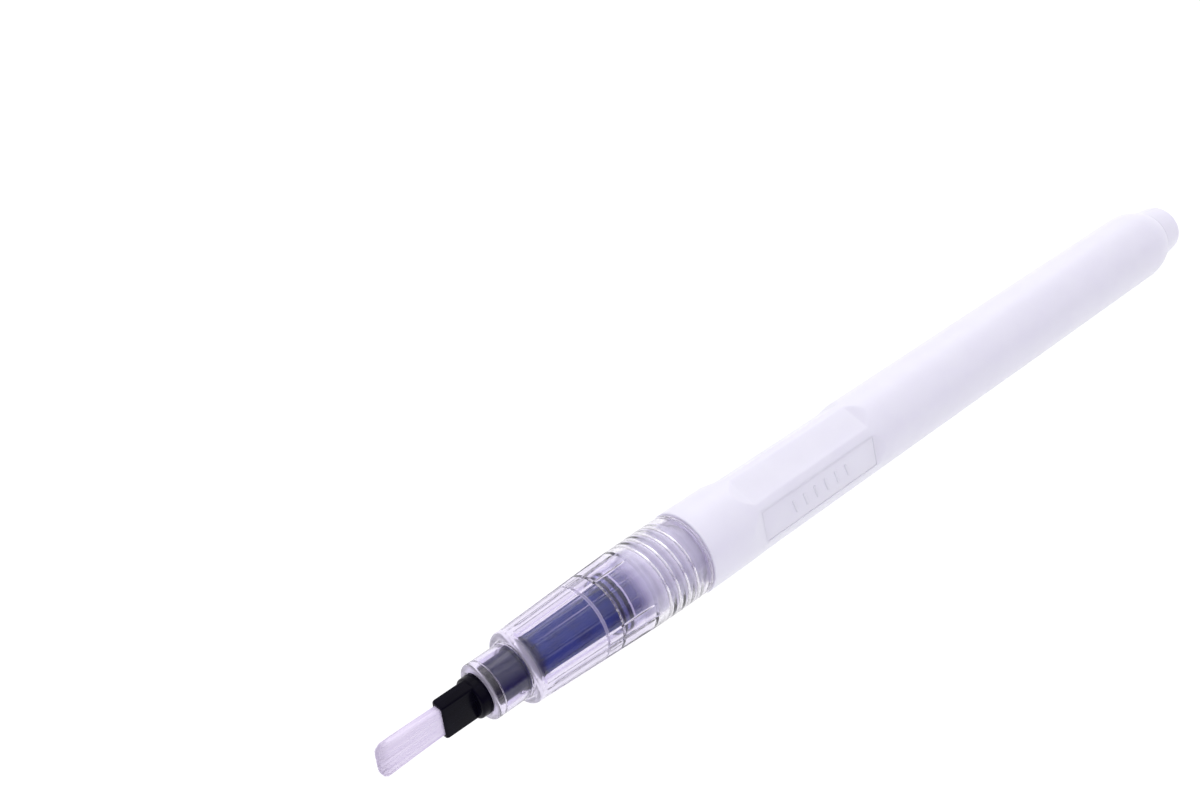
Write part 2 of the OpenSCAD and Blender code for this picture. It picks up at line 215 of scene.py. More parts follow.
def clearPlastic(name):
    material, nodes = newMaterial(name)
    haze = grain(nodes, 420)
    handling = grain(nodes, 1500, stretch=(0.25, 1, 1), detail=4)
    along, radius = penPlace(nodes)
    colour = nodes.mixColour(nodes.spread(haze, 0.3, 0.75), clearLook["colour"], clearLook["haze"])
    # the wall is thinner, and so paler, over the thread
    colour = nodes.mixColour(nodes.spread(along, *skinMarks["threadPale"]), colour,
                             clearLook["threadColour"])
    # the inner walls and the thread are less polished than the outside
    skin = nodes.spread(along, *skinMarks["between"], smooth=False)
    inner = (nodes.math("LESS_THAN", radius, skin)
             * nodes.math("GREATER_THAN", along, skinMarks["innerStart"]))
    inner = nodes.math("MAXIMUM", inner, nodes.spread(along, *skinMarks["threadRough"]) * 0.8)
    roughness = (nodes.spread(inner, 0.0, 1.0, clearLook["roughness"], clearLook["innerRoughness"])
                 + nodes.spread(handling, 0.5, 0.8) * 0.05)
    shader = nodes.node("ShaderNodeBsdfPrincipled", None, {
        "Base Color": colour, "Roughness": roughness, "IOR": 1.49, "Transmission Weight": 1.0,
        "Specular IOR Level": clearLook["gloss"], "Normal": bump(nodes, handling, 0.002 * mm, 0.3)})
    # the faces that end the nose, the shoulder and the rim are left satin by the mould
    nose = nodes.spread(along, noseX, noseX + skinMarks["noseFace"], 1.0, 0.0)
    face = skinMarks["shoulderFace"]
    shoulder = (nodes.spread(along, face[0], face[1]) * nodes.spread(along, face[2], face[3], 1.0, 0.0)
                * nodes.spread(radius, *skinMarks["shoulderRadius"]))
    rim = nodes.spread(along, rimX - skinMarks["rimFace"][0], rimX - skinMarks["rimFace"][1])
    face = skinMarks["stepFace"]
    step = (nodes.spread(along, face[0], face[1]) * nodes.spread(along, face[2], face[3], 1.0, 0.0)
            * nodes.math("LESS_THAN", radius, skinMarks["stepRadius"]))
    satinMask = nodes.math("MAXIMUM", nodes.math("MAXIMUM", nose, shoulder), nodes.math("MAXIMUM", rim, step))
    satin = nodes.node("ShaderNodeBsdfPrincipled", None, {
        "Base Color": clearLook["satin"], "Roughness": 0.4, "Transmission Weight": 0.3,
        "Normal": bump(nodes, handling, 0.004 * mm, 0.4)})
    amount = satinMask * clearLook["satinAmount"]
    body = nodes.node("ShaderNodeMixShader", None, {0: amount, 1: shader, 2: satin})
    # the lamps light what stands inside the clear plastic
    shadow = nodes.node("ShaderNodeLightPath").out("Is Shadow Ray")
    letIn = nodes.node("ShaderNodeBsdfTransparent", None, {"Color": clearLook["lampTint"]})
    finishMaterial(nodes, nodes.node("ShaderNodeMixShader", None, {0: shadow, 1: body, 2: letIn}))
    return material


def solidPlastic(name, look, scale=1800, gloss=0.5, stemEnd=None):
    material, nodes = newMaterial(name)
    mottle = grain(nodes, scale * 0.3)
    drag = grain(nodes, scale, stretch=(0.12, 1, 1), detail=4)
    peel = grain(nodes, scale * 3, detail=2)
    colours = list(look.values())
    colour = nodes.mixColour(nodes.spread(mottle * 0.5 + drag * 0.5, 0.4, 0.75), colours[0], colours[1])
    if stemEnd:
        # painted shade: the tube is painted darker from its front up to the back end of the ferrule's stem, as
        # the shade that falls there
        along = penPlace(nodes)[0]
        colour = nodes.mixColour(nodes.spread(along, stemEnd - 0.8, stemEnd), look["paintedShade"], colour)
    roughness = look["roughness"] + (drag - 0.5) * 0.2
    shader = nodes.node("ShaderNodeBsdfPrincipled", None, {
        "Base Color": colour, "Roughness": roughness, "Specular IOR Level": gloss,
        "Normal": bump(nodes, peel * 0.6 + drag * 0.4, 0.01 * mm, 0.5)})
    finishMaterial(nodes, shader)
    return material


def nylonFilament(name):
    material, nodes = newMaterial(name)
    streaks = grain(nodes, 3200, stretch=(0.03, 1, 1), detail=3)
    spot = nodes.node("ShaderNodeSeparateXYZ", None, {0: nodes.node("ShaderNodeTexCoord").out("Object")})
    # painted shade: the tuft is painted darker from a few millimetres behind the tip towards the ferrule; the
    # lengthwise streaks vary the tone at random
    paintedRootShade = nodes.spread(spot.out(0), tipX + nylonLook["shadeFrom"] * mm, tipX + mouthX * mm)
    shade = nodes.spread(streaks, 0.3, 0.75) * 0.3 + paintedRootShade * 0.35
    colour = nodes.mixColour(shade, nylonLook["colour"], nylonLook["shade"])
    shader = nodes.node("ShaderNodeBsdfPrincipled", None, {
        "Base Color": colour, "Roughness": nylonLook["roughness"] + (streaks - 0.5) * 0.2,
        "Normal": bump(nodes, streaks, 0.01 * mm, 0.3)})
    finishMaterial(nodes, shader)
    return material


def fibreFelt(name):
    material, nodes = newMaterial(name)
    tangle = grain(nodes, 9000, detail=6)
    colour = nodes.mixColour(tangle, (0.70, 0.69, 0.74, 1), (0.93, 0.92, 0.95, 1))
    shader = nodes.node("ShaderNodeBsdfPrincipled", None, {
        "Base Color": colour, "Roughness": 0.85 + (tangle - 0.5) * 0.2,
        "Normal": bump(nodes, tangle, 0.04 * mm, 0.8)})
    finishMaterial(nodes, shader)
    return material


def tableTop(name):
    material, nodes = newMaterial(name)
    speckle = grain(nodes, 60)
    paper = nodes.mixColour(speckle, (0.12, 0.12, 0.13, 1), (0.14, 0.14, 0.15, 1))
    shader = nodes.node("ShaderNodeBsdfPrincipled", None, {
        "Base Color": paper, "Roughness": 0.7 + (speckle - 0.5) * 0.1, "Specular IOR Level": 0.1,
        "Emission Color": (1, 1, 1, 1), "Emission Strength": 0.98})
    finishMaterial(nodes, shader)
    return material


rubberLook = {"lip": (0.008, 0.009, 0.040, 1), "body": (0.30, 0.32, 0.52, 1), "clear": 0.8,
              "lipRadius": (3.68, 3.76)}


def sealRubber(name):
    # a clear-bodied seal with two dark lips
    material, nodes = newMaterial(name)
    radius = penPlace(nodes)[1]
    lip = nodes.spread(radius, *rubberLook["lipRadius"])
    dust = grain(nodes, 2500, detail=4)
    shader = nodes.node("ShaderNodeBsdfPrincipled", None, {
        "Base Color": nodes.mixColour(lip, rubberLook["body"], rubberLook["lip"]),
        "Roughness": 0.42 + (dust - 0.5) * 0.2, "Specular IOR Level": 0.2,
        "Normal": bump(nodes, dust, 0.01 * mm, 0.4)})
    clear = nodes.node("ShaderNodeBsdfTransparent", None, {"Color": (0.85, 0.85, 0.95, 1)})
    factor = (1 - lip) * rubberLook["clear"]
    finishMaterial(nodes, nodes.node("ShaderNodeMixShader", None, {0: factor, 1: shader, 2: clear}))
    return material


whiteLook = {"colour": (0.82, 0.82, 0.88, 1), "worn": (0.74, 0.74, 0.82, 1), "roughness": 0.4}

materials = {
    "milky": milkyPlastic("milkyPolyethylene"),
    "neck": milkyPlastic("milkyNeckWall", seeThrough=True),
    "clear": clearPlastic("clearPolystyrene"),
    "black": solidPlastic("blackFerrulePlastic", blackLook, gloss=0.06),
    "navy": solidPlastic("navyFeedPlastic", navyLook, gloss=0.06, stemEnd=stemEndX),
    "rubber": sealRubber("sealRubber"),
    "white": solidPlastic("whiteInnerPlastic", whiteLook),
    "nylon": nylonFilament("nylonFilament"),
    "felt": fibreFelt("bondedFibre"),
}
print("materials ready")


# --- mesh helpers

def roundCorner(before, corner, after, radius, steps):
    # points of the arc that rounds one corner of an outline
    toBefore = (before - corner).normalized()
    toAfter = (after - corner).normalized()
    half = toBefore.angle(toAfter, math.pi) / 2
    if radius <= 0 or half < 0.02 or half > math.pi / 2 - 0.02:
        return [corner]
    reach = radius / math.tan(half)
    reach = min(reach, (before - corner).length * 0.48, (after - corner).length * 0.48)
    radius = reach * math.tan(half)
    centre = corner + (toBefore + toAfter).normalized() * (radius / math.sin(half))
    start = corner + toBefore * reach - centre
    finish = corner + toAfter * reach - centre
    points = []
    for i in range(steps + 1):
        blend = start.lerp(finish, i / steps)
        points.append(centre + blend.normalized() * radius)
    return points


def outline(stations, steps=4):
    # a closed outline from (x, r, corner radius) stations, in millimetres
    corners = [Vector((s[0], s[1])) for s in stations]
    points = []
    for i, station in enumerate(stations):
        radius = station[2] if len(station) > 2 else 0
        points += roundCorner(corners[i - 1], corners[i], corners[(i + 1) % len(corners)], radius, steps)
    return points


def refine(points, low, high, step, minRadius=0.0):
    # adds points along an outline between two stations, for surfaces that are shaped later
    result = []
    for i, start in enumerate(points):
        finish = points[(i + 1) % len(points)]
        result.append(start)
        if min(start.y, finish.y) < minRadius or abs(finish.x - start.x) < step:
            continue
        count = int(abs(finish.x - start.x) / step) + 1
        for k in range(1, count):
            point = start.lerp(finish, k / count)
            if low <= point.x <= high:
                result.append(point)
    return result


def onAxis(x, radius, angle):
    # a point of the pen, from millimetres along it, a radius and an angle about it
    return Vector((tipX + x * mm, radius * mm * math.cos(angle), axisZ + radius * mm * math.sin(angle)))


def meshObject(name, build):
    build.normal_update()
    mesh = bpy.data.meshes.new(name)
    build.to_mesh(mesh)
    build.free()
    made = bpy.data.objects.new(name, mesh)
    bpy.context.scene.collection.objects.link(made)
    return made


def bridgeRings(build, rings, closed):
    pairs = list(zip(rings, rings[1:]))
    if closed:
        pairs.append((rings[-1], rings[0]))
    for one, two in pairs:
        count = max(len(one), len(two))
        for k in range(count):
            a, b = one[k % len(one)], one[(k + 1) % len(one)]
            c, d = two[(k + 1) % len(two)], two[k % len(two)]
            corners = list(dict.fromkeys((a, b, c, d)))
            if len(corners) > 2:
                build.faces.new(corners)


def lathe(name, points, segments, shape=None):
    # turns a closed outline about the pen's axis; a point on the axis becomes a pole
    build = bmesh.new()
    rings = []
    for point in points:
        if point.y < 1e-6:
            rings.append([build.verts.new(onAxis(point.x, 0, 0))])
            continue
        ring = []
        for k in range(segments):
            angle = 2 * math.pi * k / segments
            radius = shape(point.x, point.y, angle) if shape else point.y
            ring.append(build.verts.new(onAxis(point.x, radius, angle)))
        rings.append(ring)
    bridgeRings(build, rings, closed=len(rings[0]) > 1 or len(rings[-1]) > 1)
    bmesh.ops.recalc_face_normals(build, faces=build.faces)
    return meshObject(name, build)


def smoothShade(piece, degrees=32):
    mesh = piece.data
    mesh.polygons.foreach_set("use_smooth", [True] * len(mesh.polygons))
    mesh.set_sharp_from_angle(angle=math.radians(degrees))
    mesh.update()


def settle(piece):
    # turns a piece's modifiers into its plain mesh
    graph = bpy.context.evaluated_depsgraph_get()
    mesh = bpy.data.meshes.new_from_object(piece.evaluated_get(graph))
    piece.modifiers.clear()
    piece.data = mesh
    return piece


def dress(piece, material):
    piece.data.materials.clear()
    piece.data.materials.append(material)


def place(piece, body, slot, *replaced):
    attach(piece, body)
    if replaced:
        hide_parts(*replaced)


# --- geometry trees

def newTree(name, inputs):
    group = bpy.data.node_groups.new(name, "GeometryNodeTree")
    group.interface.new_socket("Geometry", in_out="INPUT", socket_type="NodeSocketGeometry")
    group.interface.new_socket("Geometry", in_out="OUTPUT", socket_type="NodeSocketGeometry")
    group.interface.new_socket("Material", in_out="INPUT", socket_type="NodeSocketMaterial")
    for label, value in inputs.items():
        kind = "NodeSocketInt" if isinstance(value, int) else "NodeSocketFloat"
        socket = group.interface.new_socket(label, in_out="INPUT", socket_type=kind)
        socket.default_value = value
    nodes = Nodes(group)
    return group, nodes, nodes.node("NodeGroupInput")


def closeTree(nodes, entry, geometry):
    realized = nodes.node("GeometryNodeRealizeInstances", None, {"Geometry": geometry})
    sockets = {"Geometry": realized, "Material": entry.out("Material")}
    painted = nodes.node("GeometryNodeSetMaterial", None, sockets)
    nodes.node("NodeGroupOutput", None, {0: painted})


def runTree(piece, group, material, values):
    modifier = piece.modifiers.new("shape", "NODES")
    modifier.node_group = group
    values = dict(values, Material=material)
    for socket in group.interface.items_tree:
        if socket.in_out == "INPUT" and socket.name in values:
            modifier[socket.identifier] = values[socket.name]
    return settle(piece)


def polarPlace(nodes):
    # position along the pen, distance from its axis, angle about it, and the outward direction
    position = nodes.node("GeometryNodeInputPosition")
    parts = nodes.node("ShaderNodeSeparateXYZ", None, {0: position})
    along, side, up = parts.out(0) - tipX, parts.out(1), parts.out(2) - axisZ
    radius = nodes.math("SQRT", side * side + up * up)
    angle = nodes.math("ARCTAN2", up, side)
    outward = nodes.node("ShaderNodeCombineXYZ", None, {1: side / radius, 2: up / radius})
    return along, radius, angle, outward


def pushOut(nodes, entry, outward, amount):
    settings = {"operation": "SCALE"}
    offset = nodes.node("ShaderNodeVectorMath", settings, {0: outward, "Scale": amount})
    sockets = {"Geometry": entry.out("Geometry"), "Offset": offset}
    return nodes.node("GeometryNodeSetPosition", None, sockets)


def grooveTree():
    # lengthwise grooves that repeat round a turned piece
    group, nodes, entry = newTree("lengthwiseGrooves", {
        "Count": 16, "Depth": 0.1 * mm, "Width": 0.5, "Edge": 0.3, "Start": 0.0, "End": 0.0,
        "Fade": 0.5 * mm, "Skin Radius": 0.0})
    along, radius, angle, outward = polarPlace(nodes)
    wave = nodes.math("COSINE", angle * entry.out("Count")) * 0.5 + 0.5
    groove = nodes.spread(wave, 1 - entry.out("Width") - entry.out("Edge"), 1 - entry.out("Width"))
    start, end, fade = entry.out("Start"), entry.out("End"), entry.out("Fade")
    onset = nodes.spread(along, start, start + fade)
    close = nodes.spread(along, end - fade, end, 1.0, 0.0)
    skin = nodes.math("GREATER_THAN", radius, entry.out("Skin Radius"))
    amount = groove * onset * close * skin * entry.out("Depth") * -1.0
    closeTree(nodes, entry, pushOut(nodes, entry, outward, amount))
    return group


def threadTree():
    # a right-hand thread ridge raised from a round wall, outwards or inwards
    group, nodes, entry = newTree("screwThread", {
        "Pitch": 1.5 * mm, "Height": 0.6 * mm, "Start": 0.0, "Turns": 4.0, "Root Width": 0.62 * mm,
        "Crest Width": 0.34 * mm, "Wall Low": 0.0, "Wall High": 0.0, "Zone Low": 0.0, "Zone High": 0.0})
    along, radius, angle, outward = polarPlace(nodes)
    turn = nodes.math("FRACT", angle / (2 * math.pi) + 0.25)
    level = (along - entry.out("Start")) / entry.out("Pitch") - turn
    ring = nodes.math("ROUND", level)
    distance = nodes.math("ABSOLUTE", level - ring) * entry.out("Pitch")
    crest, root = entry.out("Crest Width") * 0.5, entry.out("Root Width") * 0.5
    ridge = nodes.spread(distance, crest, root, 1.0, 0.0)
    travelled = ring + turn
    runIn = nodes.spread(travelled, 0.0, 0.12)
    runOut = nodes.spread(travelled, entry.out("Turns") - 0.12, entry.out("Turns"), 1.0, 0.0)
    wall = (nodes.math("GREATER_THAN", radius, entry.out("Wall Low"))
            * nodes.math("LESS_THAN", radius, entry.out("Wall High")))
    zone = (nodes.math("GREATER_THAN", along, entry.out("Zone Low"))
            * nodes.math("LESS_THAN", along, entry.out("Zone High")))
    amount = ridge * runIn * runOut * wall * zone * entry.out("Height")
    closeTree(nodes, entry, pushOut(nodes, entry, outward, amount))
    return group


grooves = grooveTree()
threads = threadTree()

thread = {"pitch": 1.5, "start": 37.1, "turns": 4.1, "rootWidth": 1.30, "crestWidth": 0.10}


def cutThread(piece, material, height, start, wall):
    return runTree(piece, threads, material, {
        "Pitch": thread["pitch"] * mm, "Height": height * mm, "Start": start * mm,
        "Turns": thread["turns"], "Root Width": thread["rootWidth"] * mm,
        "Crest Width": thread["crestWidth"] * mm, "Wall Low": wall[0] * mm, "Wall High": wall[1] * mm,
        "Zone Low": 36.4 * mm, "Zone High": 44.8 * mm})


# --- barrel, with its squeeze flats and threaded neck

barrel = {"radius": 5.45, "bandRadius": 5.55, "bandEnd": 52, "bore": 4.6, "roundFrom": 146, "neckRadius": 3.75,
          "neckBore": 2.95, "spigot": 3.35, "crest": 4.4, "plugHole": 3.7, "throat": 47.4, "sealStep": 33.3}
flats = {"start": 54.7, "end": 76.3, "ramp": 2.0, "distance": 4.98, "shallow": 5.37, "firstTurn": 71,
         "count": 6, "blend": 0.035}


def flatDirection(number):
    # the outward direction of one flat, as an angle from +Y towards +Z
    return math.radians(90 + flats["firstTurn"] - 60 * number)


def softMin(a, b, width):
    gap = max(width - abs(a - b), 0) / width
    return min(a, b) - gap * gap * width / 4


def flattened(x, radius, angle):
    # the barrel's outer radius once the squeeze flats are pressed in
    if radius < barrel["radius"] - 0.3:
        return radius
    before = (flats["start"] - x) / flats["ramp"]
    after = (x - flats["end"]) / flats["ramp"]
    rise = max(before, after, 0)
    for number in range(flats["count"]):
        lean = math.cos(angle - flatDirection(number))
        if lean < 0.6:
            continue
        depth = flats["shallow"] if number == 5 else flats["distance"]
        plane = depth + (barrel["bandRadius"] - depth) * rise
        radius = softMin(radius, plane / lean, flats["blend"])
    return radius


def makeBarrel():
    nose, tail = barrel["roundFrom"], tailX
    stations = [
        (neckX, barrel["neckBore"], 0.06), (neckX, barrel["spigot"], 0.1),
        (barrel["sealStep"], barrel["spigot"], 0.03), (barrel["sealStep"], barrel["neckRadius"] + 0.1, 0.08),
        (barrel["sealStep"] + 0.5, barrel["neckRadius"] + 0.1, 0.1),
        (barrel["sealStep"] + 0.65, barrel["neckRadius"], 0.05),
        (shoulderX, barrel["neckRadius"], 0.15), (shoulderX, barrel["bandRadius"], 0.16),
        (barrel["bandEnd"], barrel["bandRadius"]), (barrel["bandEnd"] + 6, barrel["radius"]),
        (nose, barrel["radius"])]
    for i in range(1, 15):
        # the tail rounds over as part of an ellipse
        turn = math.radians(61 * i / 14)
        stations.append((nose + 4.9 * math.sin(turn), 3.2 + (barrel["radius"] - 3.2) * math.cos(turn)))
    stations += [(tail, barrel["plugHole"], 0.05), (tail - 3.1, barrel["plugHole"], 0.1),
                 (tail - 4.8, barrel["bore"], 0.4), (barrel["throat"] + 2.1, barrel["bore"], 0.6),
                 (barrel["throat"], barrel["neckBore"], 0.4)]
    points = outline(stations, 5)
    points = refine(points, 36.4, 44.8, 0.11, minRadius=3.7)
    points = refine(points, flats["start"] - 2.6, flats["start"] + 0.8, 0.15, minRadius=5)
    points = refine(points, flats["end"] - 0.8, flats["end"] + 2.6, 0.15, minRadius=5)
    points = refine(points, flats["start"], flats["end"], 1.5, minRadius=5)
    made = lathe("barrelShell", points, 288, shape=flattened)
    return cutThread(made, materials["milky"], barrel["crest"] - barrel["neckRadius"], thread["start"],
                     (barrel["neckRadius"] - 0.05, barrel["neckRadius"] + 0.05))


panel = {"halfWidth": 2.05, "thickness": 0.75, "gap": 0.01, "inset": 0.2, "edge": 0.08,
         "bars": 6, "barStep": 2.0, "barLength": 1.9, "barWidth": 0.42, "barHeight": 0.09, "barLean": 14}


def flatMatrix(number):
    # local X runs along the pen, local Z out of the flat, with its origin on the pen's axis
    turn = Matrix.Rotation(flatDirection(number) - math.pi / 2, 4, "X")
    return Matrix.Translation((tipX, 0, axisZ)) @ turn


def block(name, low, high, matrix, edge=0.0):
    build = bmesh.new()
    bmesh.ops.create_cube(build, size=1)
    size = Vector(high) - Vector(low)
    middle = (Vector(high) + Vector(low)) / 2
    bmesh.ops.scale(build, vec=size * mm, verts=build.verts)
    bmesh.ops.translate(build, vec=middle * mm, verts=build.verts)
    if edge:
        bmesh.ops.bevel(build, geom=build.edges[:], offset=edge * mm, segments=3, profile=0.5,
                        affect="EDGES", clamp_overlap=True)
    bmesh.ops.transform(build, matrix=matrix, verts=build.verts)
    return meshObject(name, build)


def cutWindows(piece):
    reach = panel["halfWidth"] + panel["gap"]
    inset = panel["inset"] - panel["gap"]
    cutters = []
    for number in (0, 3):
        low = (flats["start"] + inset, -reach, barrel["bore"] - 2)
        high = (flats["end"] - inset, reach, barrel["radius"] + 1)
        cutter = block("windowCutter", low, high, flatMatrix(number))
        cut = piece.modifiers.new("window", "BOOLEAN")
        cut.operation = "DIFFERENCE"
        cut.solver = "EXACT"
        cut.object = cutter
        cutters.append(cutter)
    settle(piece)
    for cutter in cutters:
        bpy.data.objects.remove(cutter)


barrelShell = makeBarrel()
cutWindows(barrelShell)
dress(barrelShell, materials["milky"])
barrelShell.data.materials.append(materials["neck"])
shoulderEdge = tipX + (shoulderX + 0.01) * mm
for face in barrelShell.data.polygons:
    onNeck = face.center.x < shoulderEdge and (face.center - axisPoint).yz.length < 4.5 * mm
    face.material_index = 1 if onNeck else 0
smoothShade(barrelShell, 40)
place(barrelShell, "barrel", "milky_barrel", "barrel")
print("barrel:", len(barrelShell.data.polygons), "faces")


# --- press panels: the flats' own thin walls, with raised bars for the finger

def barTree():
    group, nodes, entry = newTree("raisedBars", {
        "Count": 6, "Step": 2.0 * mm, "Length": 2.0 * mm, "Width": 0.4 * mm, "Height": 0.1 * mm, "Lean": 0.2})
    start = nodes.node("ShaderNodeCombineXYZ", None, {0: (entry.out("Count") - 1) * entry.out("Step") * -0.5})
    step = nodes.node("ShaderNodeCombineXYZ", None, {0: entry.out("Step")})
    sockets = {"Count": entry.out("Count"), "Start Location": start, "Offset": step}
    row = nodes.node("GeometryNodeMeshLine", {"mode": "OFFSET"}, sockets)
    ball = nodes.node("GeometryNodeMeshUVSphere", None, {"Segments": 16, "Rings": 9, "Radius": 1.0})
    # a ball is drawn out into a bar: its two halves are moved apart across the panel
    parts = nodes.node("ShaderNodeSeparateXYZ", None, {0: nodes.node("GeometryNodeInputPosition")})
    half = entry.out("Width") * 0.5
    apart = (entry.out("Length") - entry.out("Width")) * 0.5
    across = parts.out(1) * half + nodes.math("SIGN", parts.out(1)) * apart
    shaped = nodes.node("ShaderNodeCombineXYZ", None, {
        0: parts.out(0) * half, 1: across, 2: parts.out(2) * entry.out("Height")})
    bar = nodes.node("GeometryNodeSetPosition", None, {"Geometry": ball, "Position": shaped})
    turn = nodes.node("ShaderNodeCombineXYZ", None, {2: entry.out("Lean")})
    sockets = {"Points": row, "Instance": bar, "Rotation": turn}
    closeTree(nodes, entry, nodes.node("GeometryNodeInstanceOnPoints", None, sockets))
    return group


barsGroup = barTree()


def makePanel(name, number, body, node):
    low = (flats["start"] + panel["inset"], -panel["halfWidth"], flats["distance"] - panel["thickness"])
    high = (flats["end"] - panel["inset"], panel["halfWidth"], flats["distance"])
    plate = block(name, low, high, flatMatrix(number), panel["edge"])
    dress(plate, materials["milky"])
    smoothShade(plate, 50)
    place(plate, body, "milky_barrel", node)
    bars = meshObject(name + "Bars", bmesh.new())
    runTree(bars, barsGroup, materials["milky"], {
        "Count": panel["bars"], "Step": panel["barStep"] * mm, "Length": panel["barLength"] * mm,
        "Width": panel["barWidth"] * mm, "Height": panel["barHeight"] * mm,
        "Lean": math.radians(panel["barLean"])})
    middle = Vector(((flats["start"] + flats["end"]) / 2, 0, flats["distance"])) * mm
    bars.data.transform(flatMatrix(number) @ Matrix.Translation(middle))
    smoothShade(bars, 60)
    place(bars, body, "milky_barrel")


rim = {"low": 3.6, "high": 4.85, "wall": 0.25}


def makeRim(name, number):
    # the barrel's wall turns in round a window, which closes the side of a pressed panel
    matrix = flatMatrix(number)
    reachX = panel["inset"] - panel["gap"]
    reachY = panel["halfWidth"] + panel["gap"]
    build = bmesh.new()
    rings = []
    for outer, z in ((0, rim["low"]), (rim["wall"], rim["low"]), (rim["wall"], rim["high"]), (0, rim["high"])):
        x0, x1 = flats["start"] + reachX - outer, flats["end"] - reachX + outer
        y = reachY + outer
        corners = [(x0, -y, z), (x1, -y, z), (x1, y, z), (x0, y, z)]
        rings.append([build.verts.new(matrix @ (Vector(corner) * mm)) for corner in corners])
    bridgeRings(build, rings, closed=True)
    bmesh.ops.recalc_face_normals(build, faces=build.faces)
    made = meshObject(name, build)
    dress(made, materials["milky"])
    place(made, "barrel", "milky_barrel")


makeRim("windowRimFront", 0)
makeRim("windowRimBack", 3)
makePanel("pressPanelFront", 0, "panel_front", "press_panel_front")
makePanel("pressPanelBack", 3, "panel_back", "press_panel_back")
print("press panels done")


# --- end plug, seal and gasket

endPlug = {"boss": 4.3, "bossEnd": 3.74, "edge": 0.65, "spigot": 3.69, "cup": 2.6, "seam": 0.06}


def plugSeam(x, radius, angle):
    # the mould leaves a fine raised line down both sides of the plug
    if x < tailX + 0.2 or x > endX - 0.7:
        return radius
    lean = (angle - math.radians(72)) % math.pi
    away = min(lean, math.pi - lean)
    return radius + endPlug["seam"] * math.exp(-(away / 0.02) ** 2)


plugPoints = outline([
    (endX - 1.4, 0), (endX - 1.4, endPlug["cup"], 0.3), (tailX - 3.3, endPlug["cup"], 0.1),
    (tailX - 3.3, endPlug["spigot"] - 0.4, 0.1), (tailX - 2.8, endPlug["spigot"], 0.1),
    (tailX, endPlug["spigot"], 0.02), (tailX, endPlug["boss"], 0.12),
    (endX, endPlug["bossEnd"], endPlug["edge"]), (endX, 0)], 7)
plug = lathe("endPlug", refine(plugPoints, tailX, endX, 0.5, minRadius=3.6), 240, shape=plugSeam)
dress(plug, materials["milky"])
smoothShade(plug)
place(plug, "barrel", "milky_plug", "end_plug")

seal = lathe("neckSeal", outline([
    (31.8, 3.36, 0.05), (31.8, 3.7, 0.05), (31.95, 3.88, 0.08), (32.1, 3.88, 0.08), (32.3, 3.66, 0.1),
    (32.7, 3.66, 0.1), (32.9, 3.88, 0.08), (33.1, 3.88, 0.08), (33.28, 3.7, 0.05), (33.28, 3.36, 0.05)]), 128)
dress(seal, materials["rubber"])
smoothShade(seal)
place(seal, "barrel", "dark_seal", "neck_seal")

gasket = lathe("rimGasket", outline([
    (rimX + 0.01, 3.86, 0.04), (shoulderX - 0.01, 3.86, 0.04), (shoulderX - 0.01, 5.3, 0.1),
    (rimX + 0.01, 5.3, 0.1)]), 160)
dress(gasket, materials["clear"])
smoothShade(gasket)
place(gasket, "gasket", "clear_gasket", "rim_gasket")
print("plug, seal and gasket done")


# --- grip section: clear, fluted, with the nose in front and the thread inside

grip = {"nose": 3.45, "noseBore": 2.5, "shoulder": 18.6, "front": 4.53, "back": 5.32, "fluteEnd": 36.3,
        "rim": 5.43, "corner": 0.9, "seatBore": 2.92, "sealBore": 3.98, "threadBore": 4.5,
        "flutes": 16, "fluteDepth": 0.11}


def makeGrip():
    stations = [
        (noseX, grip["noseBore"] + 0.02, 0.08), (noseX, grip["nose"], 0.32),
        (grip["shoulder"], grip["nose"], 0.12), (grip["shoulder"], grip["front"] - 0.02, grip["corner"]),
        (grip["shoulder"] + 1.6, grip["front"] + 0.04, 0.5), (grip["fluteEnd"], grip["back"], 1.0),
        (41.9, grip["rim"], 0.5), (rimX, grip["rim"], 0.12), (rimX, grip["threadBore"], 0.1),
        (36.6, grip["threadBore"], 0.12), (36.3, 4.1, 0.1), (34.6, grip["sealBore"], 0.1),
        (31.6, grip["sealBore"], 0.05), (31.4, 3.55, 0.08), (29.4, 3.5, 0.05), (29.2, 3.3, 0.08),
        (20.3, 3.1, 0.1), (20.0, grip["seatBore"] + 0.02, 0.08), (15.0, grip["seatBore"] + 0.02, 0.08),
        (15.0, grip["noseBore"] + 0.02, 0.05)]
    points = outline(stations, 6)
    points = refine(points, 20, 37, 0.5, minRadius=4.45)
    points = refine(points, 36.7, 44.8, 0.11, minRadius=4.4)
    made = lathe("gripSection", points, 320)
    runTree(made, grooves, materials["clear"], {
        "Count": grip["flutes"], "Depth": grip["fluteDepth"] * mm, "Width": 0.01, "Edge": 0.13,
        "Start": 20.2 * mm, "End": grip["fluteEnd"] * mm, "Fade": 0.7 * mm, "Skin Radius": 4.3 * mm})
    return cutThread(made, materials["clear"], 3.98 - grip["threadBore"],
                     thread["start"] + thread["pitch"] / 2,
                     (grip["threadBore"] - 0.05, grip["threadBore"] + 0.05))


gripSection = makeGrip()
smoothShade(gripSection, 40)
place(gripSection, "front", "clear_section", "grip_section")
print("grip section:", len(gripSection.data.polygons), "faces")


# --- feed tube, seen through the grip section

feed = {"radius": 2.5, "front": 2.5, "collar": 2.88, "collarStart": 18.6, "collarEnd": 19.9, "start": 15.0,
        "end": 43.3, "bore": 0.9, "socket": 1.9, "socketEnd": 21.5, "plugBore": 1.3, "plugSeat": 40.8,
        "grooves": 10}

